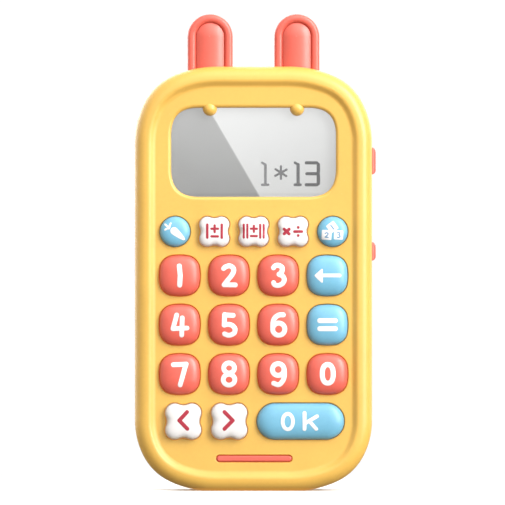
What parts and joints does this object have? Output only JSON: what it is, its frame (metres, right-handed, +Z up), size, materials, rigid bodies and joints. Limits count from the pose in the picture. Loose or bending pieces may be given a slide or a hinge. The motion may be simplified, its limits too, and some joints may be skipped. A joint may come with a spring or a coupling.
{
  "type": "toy cell phone",
  "caption": "Upright toy phone with rabbit ears: moulded case, sprung keys on a rubber mat, small display window, side buttons, speaker and a tilt-out battery door.",
  "frame": {"origin": "middle of the flat bottom of the case, at mid depth of the flat", "axes": "+Z up along the phone towards the ears, -Y out of the front face with the keys, +X to the right seen from the front"},
  "size_m": [0.0807, 0.0255, 0.1598],
  "materials": {
    "case_yellow": "satin moulded ABS",
    "coral": "satin moulded ABS",
    "blue": "satin moulded ABS",
    "white_cap": "satin moulded ABS",
    "lens": "clear glossy acrylic",
    "tape": "matt foam adhesive",
    "lcd_glass": "polarised glass over a grey reflector",
    "lcd_frame": "matt moulded plastic",
    "zebra": "striped conductive rubber",
    "pcb_green": "solder-masked glass fibre board",
    "epoxy": "black epoxy",
    "silicone": "translucent silicone rubber",
    "switch_metal": "stamped steel",
    "switch_black": "moulded nylon",
    "speaker_metal": "pressed steel",
    "speaker_paper": "plastic film",
    "cell_wrap": "printed film over a steel can",
    "nickel": "nickel-plated steel",
    "screw_steel": "zinc-plated steel",
    "wire_red": "PVC insulation",
    "wire_black": "PVC insulation"
  },
  "bodies": {
    "case": {"front_cover": "case_yellow", "rear_cover": "case_yellow", "ear_left": "coral", "ear_right": "coral", "accent_bar": "coral", "display_lens": "lens", "lens_tape": "tape", "lcd_panel": "lcd_glass", "lcd_frame": "lcd_frame", "zebra_strip": "zebra", "main_pcb": "pcb_green", "controller_chip": "epoxy", "keypad_mat": "silicone", "side_switch_upper": "switch_metal", "side_switch_lower": "switch_metal", "speaker_frame": "speaker_metal", "speaker_cone": "speaker_paper", "speaker_magnet": "nickel", "battery_cells": "cell_wrap", "battery_springs": "nickel", "battery_contacts": "nickel", "battery_leads": "wire_red", "speaker_leads": "wire_black", "case_screws": "screw_steel", "pcb_screws": "screw_steel"},
    "key_0": {"key_0": "coral"},
    "key_1": {"key_1": "coral"},
    "key_2": {"key_2": "coral"},
    "key_3": {"key_3": "coral"},
    "key_4": {"key_4": "coral"},
    "key_5": {"key_5": "coral"},
    "key_6": {"key_6": "coral"},
    "key_7": {"key_7": "coral"},
    "key_8": {"key_8": "coral"},
    "key_9": {"key_9": "coral"},
    "key_add_sub_1": {"key_add_sub_1": "white_cap"},
    "key_add_sub_2": {"key_add_sub_2": "white_cap"},
    "key_back": {"key_back": "blue"},
    "key_blocks": {"key_blocks": "blue"},
    "key_carrot": {"key_carrot": "blue"},
    "key_equals": {"key_equals": "blue"},
    "key_mul_div": {"key_mul_div": "white_cap"},
    "key_next": {"key_next": "white_cap"},
    "key_ok": {"key_ok": "blue"},
    "key_prev": {"key_prev": "white_cap"},
    "side_button_upper": {"side_button_upper": "coral", "side_plunger_upper": "switch_black"},
    "side_button_lower": {"side_button_lower": "coral", "side_plunger_lower": "switch_black"},
    "battery_door": {"battery_door": "case_yellow", "door_screw": "screw_steel"}
  },
  "joints": [
    {"name": "key_0_press", "type": "slide", "parent": "case", "child": "key_0", "axis": [0, 1, 0], "range_m": [0, 0.0012], "stiffness_N_per_m": 1200, "springref_m": -0.0003, "deforming": ["keypad_mat"]},
    {"name": "key_1_press", "type": "slide", "parent": "case", "child": "key_1", "axis": [0, 1, 0], "range_m": [0, 0.0012], "stiffness_N_per_m": 1200, "springref_m": -0.0003, "deforming": ["keypad_mat"]},
    {"name": "key_2_press", "type": "slide", "parent": "case", "child": "key_2", "axis": [0, 1, 0], "range_m": [0, 0.0012], "stiffness_N_per_m": 1200, "springref_m": -0.0003, "deforming": ["keypad_mat"]},
    {"name": "key_3_press", "type": "slide", "parent": "case", "child": "key_3", "axis": [0, 1, 0], "range_m": [0, 0.0012], "stiffness_N_per_m": 1200, "springref_m": -0.0003, "deforming": ["keypad_mat"]},
    {"name": "key_4_press", "type": "slide", "parent": "case", "child": "key_4", "axis": [0, 1, 0], "range_m": [0, 0.0012], "stiffness_N_per_m": 1200, "springref_m": -0.0003, "deforming": ["keypad_mat"]},
    {"name": "key_5_press", "type": "slide", "parent": "case", "child": "key_5", "axis": [0, 1, 0], "range_m": [0, 0.0012], "stiffness_N_per_m": 1200, "springref_m": -0.0003, "deforming": ["keypad_mat"]},
    {"name": "key_6_press", "type": "slide", "parent": "case", "child": "key_6", "axis": [0, 1, 0], "range_m": [0, 0.0012], "stiffness_N_per_m": 1200, "springref_m": -0.0003, "deforming": ["keypad_mat"]},
    {"name": "key_7_press", "type": "slide", "parent": "case", "child": "key_7", "axis": [0, 1, 0], "range_m": [0, 0.0012], "stiffness_N_per_m": 1200, "springref_m": -0.0003, "deforming": ["keypad_mat"]},
    {"name": "key_8_press", "type": "slide", "parent": "case", "child": "key_8", "axis": [0, 1, 0], "range_m": [0, 0.0012], "stiffness_N_per_m": 1200, "springref_m": -0.0003, "deforming": ["keypad_mat"]},
    {"name": "key_9_press", "type": "slide", "parent": "case", "child": "key_9", "axis": [0, 1, 0], "range_m": [0, 0.0012], "stiffness_N_per_m": 1200, "springref_m": -0.0003, "deforming": ["keypad_mat"]},
    {"name": "key_add_sub_1_press", "type": "slide", "parent": "case", "child": "key_add_sub_1", "axis": [0, 1, 0], "range_m": [0, 0.0012], "stiffness_N_per_m": 1200, "springref_m": -0.0003, "deforming": ["keypad_mat"]},
    {"name": "key_add_sub_2_press", "type": "slide", "parent": "case", "child": "key_add_sub_2", "axis": [0, 1, 0], "range_m": [0, 0.0012], "stiffness_N_per_m": 1200, "springref_m": -0.0003, "deforming": ["keypad_mat"]},
    {"name": "key_back_press", "type": "slide", "parent": "case", "child": "key_back", "axis": [0, 1, 0], "range_m": [0, 0.0012], "stiffness_N_per_m": 1200, "springref_m": -0.0003, "deforming": ["keypad_mat"]},
    {"name": "key_blocks_press", "type": "slide", "parent": "case", "child": "key_blocks", "axis": [0, 1, 0], "range_m": [0, 0.0012], "stiffness_N_per_m": 1200, "springref_m": -0.0003, "deforming": ["keypad_mat"]},
    {"name": "key_carrot_press", "type": "slide", "parent": "case", "child": "key_carrot", "axis": [0, 1, 0], "range_m": [0, 0.0012], "stiffness_N_per_m": 1200, "springref_m": -0.0003, "deforming": ["keypad_mat"]},
    {"name": "key_equals_press", "type": "slide", "parent": "case", "child": "key_equals", "axis": [0, 1, 0], "range_m": [0, 0.0012], "stiffness_N_per_m": 1200, "springref_m": -0.0003, "deforming": ["keypad_mat"]},
    {"name": "key_mul_div_press", "type": "slide", "parent": "case", "child": "key_mul_div", "axis": [0, 1, 0], "range_m": [0, 0.0012], "stiffness_N_per_m": 1200, "springref_m": -0.0003, "deforming": ["keypad_mat"]},
    {"name": "key_next_press", "type": "slide", "parent": "case", "child": "key_next", "axis": [0, 1, 0], "range_m": [0, 0.0012], "stiffness_N_per_m": 1200, "springref_m": -0.0003, "deforming": ["keypad_mat"]},
    {"name": "key_ok_press", "type": "slide", "parent": "case", "child": "key_ok", "axis": [0, 1, 0], "range_m": [0, 0.0012], "stiffness_N_per_m": 1800, "springref_m": -0.0003, "deforming": ["keypad_mat"]},
    {"name": "key_prev_press", "type": "slide", "parent": "case", "child": "key_prev", "axis": [0, 1, 0], "range_m": [0, 0.0012], "stiffness_N_per_m": 1200, "springref_m": -0.0003, "deforming": ["keypad_mat"]},
    {"name": "side_button_upper_press", "type": "slide", "parent": "case", "child": "side_button_upper", "axis": [-1, 0, 0], "range_m": [0, 0.0006], "stiffness_N_per_m": 1500, "springref_m": -0.0002},
    {"name": "side_button_lower_press", "type": "slide", "parent": "case", "child": "side_button_lower", "axis": [-1, 0, 0], "range_m": [0, 0.0006], "stiffness_N_per_m": 1500, "springref_m": -0.0002},
    {"name": "battery_door_tilt", "type": "hinge", "parent": "case", "child": "battery_door", "pos_m": [0, 0.0125, 0.0239], "axis": [-1, 0, 0], "range_deg": [0, 60]}
  ]
}
